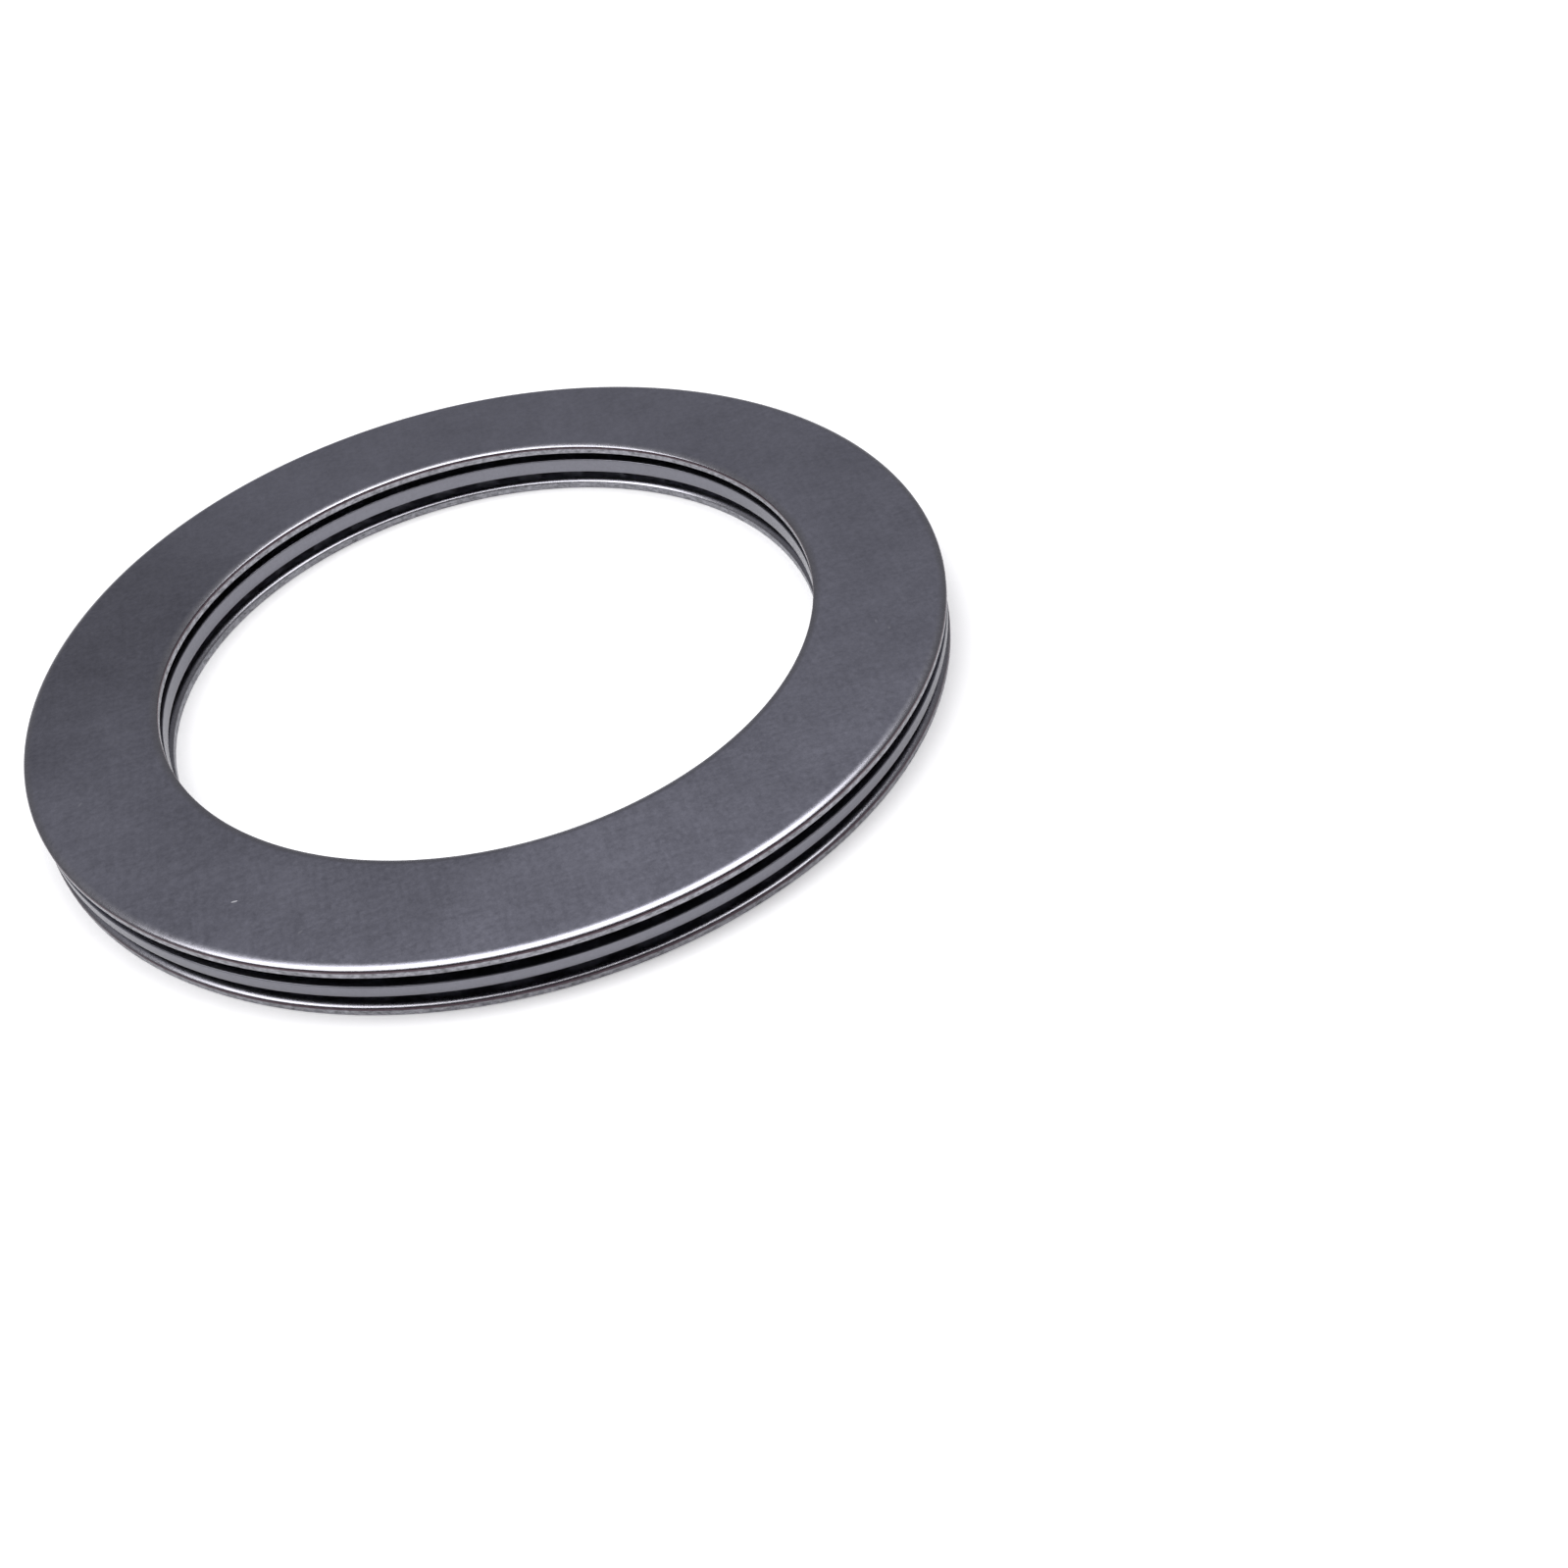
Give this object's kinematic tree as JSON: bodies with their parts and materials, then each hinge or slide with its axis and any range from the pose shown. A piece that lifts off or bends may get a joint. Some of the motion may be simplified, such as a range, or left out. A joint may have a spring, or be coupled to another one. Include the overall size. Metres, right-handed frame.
{
  "type": "axial needle roller bearing",
  "caption": "Flat thrust bearing: a caged ring of radial needle rollers between thin plain washers, for an axial load on a turning shaft.",
  "frame": {"origin": "centre of the lower washer's bottom face, on the bearing's axis", "axes": "+Z along the bearing's axis, from the housing washer up to the shaft washer; +X and +Y lie in the bottom face, and +X runs along the axis of roller_44"},
  "size_m": [0.0846, 0.0846, 0.0052],
  "materials": {
    "washer_steel": "hardened and tumbled, satin dark grey",
    "cage_steel": "pressed mild steel sheet, even matte grey",
    "roller_steel": "ground and polished bearing steel"
  },
  "bodies": {
    "housing_washer": {"housing_washer": "washer_steel"},
    "shaft_washer": {"shaft_washer": "washer_steel"},
    "cage": {"cage": "cage_steel"},
    "roller_01": {"roller_01": "roller_steel"},
    "roller_02": {"roller_02": "roller_steel"},
    "roller_03": {"roller_03": "roller_steel"},
    "roller_04": {"roller_04": "roller_steel"},
    "roller_05": {"roller_05": "roller_steel"},
    "roller_06": {"roller_06": "roller_steel"},
    "roller_07": {"roller_07": "roller_steel"},
    "roller_08": {"roller_08": "roller_steel"},
    "roller_09": {"roller_09": "roller_steel"},
    "roller_10": {"roller_10": "roller_steel"},
    "roller_11": {"roller_11": "roller_steel"},
    "roller_12": {"roller_12": "roller_steel"},
    "roller_13": {"roller_13": "roller_steel"},
    "roller_14": {"roller_14": "roller_steel"},
    "roller_15": {"roller_15": "roller_steel"},
    "roller_16": {"roller_16": "roller_steel"},
    "roller_17": {"roller_17": "roller_steel"},
    "roller_18": {"roller_18": "roller_steel"},
    "roller_19": {"roller_19": "roller_steel"},
    "roller_20": {"roller_20": "roller_steel"},
    "roller_21": {"roller_21": "roller_steel"},
    "roller_22": {"roller_22": "roller_steel"},
    "roller_23": {"roller_23": "roller_steel"},
    "roller_24": {"roller_24": "roller_steel"},
    "roller_25": {"roller_25": "roller_steel"},
    "roller_26": {"roller_26": "roller_steel"},
    "roller_27": {"roller_27": "roller_steel"},
    "roller_28": {"roller_28": "roller_steel"},
    "roller_29": {"roller_29": "roller_steel"},
    "roller_30": {"roller_30": "roller_steel"},
    "roller_31": {"roller_31": "roller_steel"},
    "roller_32": {"roller_32": "roller_steel"},
    "roller_33": {"roller_33": "roller_steel"},
    "roller_34": {"roller_34": "roller_steel"},
    "roller_35": {"roller_35": "roller_steel"},
    "roller_36": {"roller_36": "roller_steel"},
    "roller_37": {"roller_37": "roller_steel"},
    "roller_38": {"roller_38": "roller_steel"},
    "roller_39": {"roller_39": "roller_steel"},
    "roller_40": {"roller_40": "roller_steel"},
    "roller_41": {"roller_41": "roller_steel"},
    "roller_42": {"roller_42": "roller_steel"},
    "roller_43": {"roller_43": "roller_steel"},
    "roller_44": {"roller_44": "roller_steel"}
  },
  "joints": [
    {"name": "shaft_washer_spin", "type": "hinge", "parent": "housing_washer", "child": "shaft_washer", "pos_m": [0, 0, 0.0047], "axis": [0, 0, 1], "continuous": true},
    {"name": "cage_spin", "type": "hinge", "parent": "housing_washer", "child": "cage", "pos_m": [0, 0, 0.0026], "axis": [0, 0, 1], "continuous": true},
    {"name": "roller_01_spin", "type": "hinge", "parent": "cage", "child": "roller_01", "pos_m": [0.03588, 0.00516, 0.0026], "axis": [0.9898, 0.1423, 0], "continuous": true},
    {"name": "roller_02_spin", "type": "hinge", "parent": "cage", "child": "roller_02", "pos_m": [0.03478, 0.01021, 0.0026], "axis": [0.9595, 0.2817, 0], "continuous": true},
    {"name": "roller_03_spin", "type": "hinge", "parent": "cage", "child": "roller_03", "pos_m": [0.03297, 0.01506, 0.0026], "axis": [0.9096, 0.4154, 0], "continuous": true},
    {"name": "roller_04_spin", "type": "hinge", "parent": "cage", "child": "roller_04", "pos_m": [0.0305, 0.0196, 0.0026], "axis": [0.8413, 0.5406, 0], "continuous": true},
    {"name": "roller_05_spin", "type": "hinge", "parent": "cage", "child": "roller_05", "pos_m": [0.0274, 0.02374, 0.0026], "axis": [0.7557, 0.6549, 0], "continuous": true},
    {"name": "roller_06_spin", "type": "hinge", "parent": "cage", "child": "roller_06", "pos_m": [0.02374, 0.0274, 0.0026], "axis": [0.6549, 0.7557, 0], "continuous": true},
    {"name": "roller_07_spin", "type": "hinge", "parent": "cage", "child": "roller_07", "pos_m": [0.0196, 0.0305, 0.0026], "axis": [0.5406, 0.8413, 0], "continuous": true},
    {"name": "roller_08_spin", "type": "hinge", "parent": "cage", "child": "roller_08", "pos_m": [0.01506, 0.03297, 0.0026], "axis": [0.4154, 0.9096, 0], "continuous": true},
    {"name": "roller_09_spin", "type": "hinge", "parent": "cage", "child": "roller_09", "pos_m": [0.01021, 0.03478, 0.0026], "axis": [0.2817, 0.9595, 0], "continuous": true},
    {"name": "roller_10_spin", "type": "hinge", "parent": "cage", "child": "roller_10", "pos_m": [0.00516, 0.03588, 0.0026], "axis": [0.1423, 0.9898, 0], "continuous": true},
    {"name": "roller_11_spin", "type": "hinge", "parent": "cage", "child": "roller_11", "pos_m": [0, 0.03625, 0.0026], "axis": [0, 1, 0], "continuous": true},
    {"name": "roller_12_spin", "type": "hinge", "parent": "cage", "child": "roller_12", "pos_m": [-0.00516, 0.03588, 0.0026], "axis": [-0.1423, 0.9898, 0], "continuous": true},
    {"name": "roller_13_spin", "type": "hinge", "parent": "cage", "child": "roller_13", "pos_m": [-0.01021, 0.03478, 0.0026], "axis": [-0.2817, 0.9595, 0], "continuous": true},
    {"name": "roller_14_spin", "type": "hinge", "parent": "cage", "child": "roller_14", "pos_m": [-0.01506, 0.03297, 0.0026], "axis": [-0.4154, 0.9096, 0], "continuous": true},
    {"name": "roller_15_spin", "type": "hinge", "parent": "cage", "child": "roller_15", "pos_m": [-0.0196, 0.0305, 0.0026], "axis": [-0.5406, 0.8413, 0], "continuous": true},
    {"name": "roller_16_spin", "type": "hinge", "parent": "cage", "child": "roller_16", "pos_m": [-0.02374, 0.0274, 0.0026], "axis": [-0.6549, 0.7557, 0], "continuous": true},
    {"name": "roller_17_spin", "type": "hinge", "parent": "cage", "child": "roller_17", "pos_m": [-0.0274, 0.02374, 0.0026], "axis": [-0.7557, 0.6549, 0], "continuous": true},
    {"name": "roller_18_spin", "type": "hinge", "parent": "cage", "child": "roller_18", "pos_m": [-0.0305, 0.0196, 0.0026], "axis": [-0.8413, 0.5406, 0], "continuous": true},
    {"name": "roller_19_spin", "type": "hinge", "parent": "cage", "child": "roller_19", "pos_m": [-0.03297, 0.01506, 0.0026], "axis": [-0.9096, 0.4154, 0], "continuous": true},
    {"name": "roller_20_spin", "type": "hinge", "parent": "cage", "child": "roller_20", "pos_m": [-0.03478, 0.01021, 0.0026], "axis": [-0.9595, 0.2817, 0], "continuous": true},
    {"name": "roller_21_spin", "type": "hinge", "parent": "cage", "child": "roller_21", "pos_m": [-0.03588, 0.00516, 0.0026], "axis": [-0.9898, 0.1423, 0], "continuous": true},
    {"name": "roller_22_spin", "type": "hinge", "parent": "cage", "child": "roller_22", "pos_m": [-0.03625, 0, 0.0026], "axis": [-1, 0, 0], "continuous": true},
    {"name": "roller_23_spin", "type": "hinge", "parent": "cage", "child": "roller_23", "pos_m": [-0.03588, -0.00516, 0.0026], "axis": [-0.9898, -0.1423, 0], "continuous": true},
    {"name": "roller_24_spin", "type": "hinge", "parent": "cage", "child": "roller_24", "pos_m": [-0.03478, -0.01021, 0.0026], "axis": [-0.9595, -0.2817, 0], "continuous": true},
    {"name": "roller_25_spin", "type": "hinge", "parent": "cage", "child": "roller_25", "pos_m": [-0.03297, -0.01506, 0.0026], "axis": [-0.9096, -0.4154, 0], "continuous": true},
    {"name": "roller_26_spin", "type": "hinge", "parent": "cage", "child": "roller_26", "pos_m": [-0.0305, -0.0196, 0.0026], "axis": [-0.8413, -0.5406, 0], "continuous": true},
    {"name": "roller_27_spin", "type": "hinge", "parent": "cage", "child": "roller_27", "pos_m": [-0.0274, -0.02374, 0.0026], "axis": [-0.7557, -0.6549, 0], "continuous": true},
    {"name": "roller_28_spin", "type": "hinge", "parent": "cage", "child": "roller_28", "pos_m": [-0.02374, -0.0274, 0.0026], "axis": [-0.6549, -0.7557, 0], "continuous": true},
    {"name": "roller_29_spin", "type": "hinge", "parent": "cage", "child": "roller_29", "pos_m": [-0.0196, -0.0305, 0.0026], "axis": [-0.5406, -0.8413, 0], "continuous": true},
    {"name": "roller_30_spin", "type": "hinge", "parent": "cage", "child": "roller_30", "pos_m": [-0.01506, -0.03297, 0.0026], "axis": [-0.4154, -0.9096, 0], "continuous": true},
    {"name": "roller_31_spin", "type": "hinge", "parent": "cage", "child": "roller_31", "pos_m": [-0.01021, -0.03478, 0.0026], "axis": [-0.2817, -0.9595, 0], "continuous": true},
    {"name": "roller_32_spin", "type": "hinge", "parent": "cage", "child": "roller_32", "pos_m": [-0.00516, -0.03588, 0.0026], "axis": [-0.1423, -0.9898, 0], "continuous": true},
    {"name": "roller_33_spin", "type": "hinge", "parent": "cage", "child": "roller_33", "pos_m": [0, -0.03625, 0.0026], "axis": [0, -1, 0], "continuous": true},
    {"name": "roller_34_spin", "type": "hinge", "parent": "cage", "child": "roller_34", "pos_m": [0.00516, -0.03588, 0.0026], "axis": [0.1423, -0.9898, 0], "continuous": true},
    {"name": "roller_35_spin", "type": "hinge", "parent": "cage", "child": "roller_35", "pos_m": [0.01021, -0.03478, 0.0026], "axis": [0.2817, -0.9595, 0], "continuous": true},
    {"name": "roller_36_spin", "type": "hinge", "parent": "cage", "child": "roller_36", "pos_m": [0.01506, -0.03297, 0.0026], "axis": [0.4154, -0.9096, 0], "continuous": true},
    {"name": "roller_37_spin", "type": "hinge", "parent": "cage", "child": "roller_37", "pos_m": [0.0196, -0.0305, 0.0026], "axis": [0.5406, -0.8413, 0], "continuous": true},
    {"name": "roller_38_spin", "type": "hinge", "parent": "cage", "child": "roller_38", "pos_m": [0.02374, -0.0274, 0.0026], "axis": [0.6549, -0.7557, 0], "continuous": true},
    {"name": "roller_39_spin", "type": "hinge", "parent": "cage", "child": "roller_39", "pos_m": [0.0274, -0.02374, 0.0026], "axis": [0.7557, -0.6549, 0], "continuous": true},
    {"name": "roller_40_spin", "type": "hinge", "parent": "cage", "child": "roller_40", "pos_m": [0.0305, -0.0196, 0.0026], "axis": [0.8413, -0.5406, 0], "continuous": true},
    {"name": "roller_41_spin", "type": "hinge", "parent": "cage", "child": "roller_41", "pos_m": [0.03297, -0.01506, 0.0026], "axis": [0.9096, -0.4154, 0], "continuous": true},
    {"name": "roller_42_spin", "type": "hinge", "parent": "cage", "child": "roller_42", "pos_m": [0.03478, -0.01021, 0.0026], "axis": [0.9595, -0.2817, 0], "continuous": true},
    {"name": "roller_43_spin", "type": "hinge", "parent": "cage", "child": "roller_43", "pos_m": [0.03588, -0.00516, 0.0026], "axis": [0.9898, -0.1423, 0], "continuous": true},
    {"name": "roller_44_spin", "type": "hinge", "parent": "cage", "child": "roller_44", "pos_m": [0.03625, 0, 0.0026], "axis": [1, 0, 0], "continuous": true}
  ],
  "couplings": [
    {"joint": "cage_spin", "follows": "shaft_washer_spin", "ratio": 0.5},
    {"joint": "roller_01_spin", "follows": "shaft_washer_spin", "ratio": -12.083},
    {"joint": "roller_02_spin", "follows": "shaft_washer_spin", "ratio": -12.083},
    {"joint": "roller_03_spin", "follows": "shaft_washer_spin", "ratio": -12.083},
    {"joint": "roller_04_spin", "follows": "shaft_washer_spin", "ratio": -12.083},
    {"joint": "roller_05_spin", "follows": "shaft_washer_spin", "ratio": -12.083},
    {"joint": "roller_06_spin", "follows": "shaft_washer_spin", "ratio": -12.083},
    {"joint": "roller_07_spin", "follows": "shaft_washer_spin", "ratio": -12.083},
    {"joint": "roller_08_spin", "follows": "shaft_washer_spin", "ratio": -12.083},
    {"joint": "roller_09_spin", "follows": "shaft_washer_spin", "ratio": -12.083},
    {"joint": "roller_10_spin", "follows": "shaft_washer_spin", "ratio": -12.083},
    {"joint": "roller_11_spin", "follows": "shaft_washer_spin", "ratio": -12.083},
    {"joint": "roller_12_spin", "follows": "shaft_washer_spin", "ratio": -12.083},
    {"joint": "roller_13_spin", "follows": "shaft_washer_spin", "ratio": -12.083},
    {"joint": "roller_14_spin", "follows": "shaft_washer_spin", "ratio": -12.083},
    {"joint": "roller_15_spin", "follows": "shaft_washer_spin", "ratio": -12.083},
    {"joint": "roller_16_spin", "follows": "shaft_washer_spin", "ratio": -12.083},
    {"joint": "roller_17_spin", "follows": "shaft_washer_spin", "ratio": -12.083},
    {"joint": "roller_18_spin", "follows": "shaft_washer_spin", "ratio": -12.083},
    {"joint": "roller_19_spin", "follows": "shaft_washer_spin", "ratio": -12.083},
    {"joint": "roller_20_spin", "follows": "shaft_washer_spin", "ratio": -12.083},
    {"joint": "roller_21_spin", "follows": "shaft_washer_spin", "ratio": -12.083},
    {"joint": "roller_22_spin", "follows": "shaft_washer_spin", "ratio": -12.083},
    {"joint": "roller_23_spin", "follows": "shaft_washer_spin", "ratio": -12.083},
    {"joint": "roller_24_spin", "follows": "shaft_washer_spin", "ratio": -12.083},
    {"joint": "roller_25_spin", "follows": "shaft_washer_spin", "ratio": -12.083},
    {"joint": "roller_26_spin", "follows": "shaft_washer_spin", "ratio": -12.083},
    {"joint": "roller_27_spin", "follows": "shaft_washer_spin", "ratio": -12.083},
    {"joint": "roller_28_spin", "follows": "shaft_washer_spin", "ratio": -12.083},
    {"joint": "roller_29_spin", "follows": "shaft_washer_spin", "ratio": -12.083},
    {"joint": "roller_30_spin", "follows": "shaft_washer_spin", "ratio": -12.083},
    {"joint": "roller_31_spin", "follows": "shaft_washer_spin", "ratio": -12.083},
    {"joint": "roller_32_spin", "follows": "shaft_washer_spin", "ratio": -12.083},
    {"joint": "roller_33_spin", "follows": "shaft_washer_spin", "ratio": -12.083},
    {"joint": "roller_34_spin", "follows": "shaft_washer_spin", "ratio": -12.083},
    {"joint": "roller_35_spin", "follows": "shaft_washer_spin", "ratio": -12.083},
    {"joint": "roller_36_spin", "follows": "shaft_washer_spin", "ratio": -12.083},
    {"joint": "roller_37_spin", "follows": "shaft_washer_spin", "ratio": -12.083},
    {"joint": "roller_38_spin", "follows": "shaft_washer_spin", "ratio": -12.083},
    {"joint": "roller_39_spin", "follows": "shaft_washer_spin", "ratio": -12.083},
    {"joint": "roller_40_spin", "follows": "shaft_washer_spin", "ratio": -12.083},
    {"joint": "roller_41_spin", "follows": "shaft_washer_spin", "ratio": -12.083},
    {"joint": "roller_42_spin", "follows": "shaft_washer_spin", "ratio": -12.083},
    {"joint": "roller_43_spin", "follows": "shaft_washer_spin", "ratio": -12.083},
    {"joint": "roller_44_spin", "follows": "shaft_washer_spin", "ratio": -12.083}
  ]
}
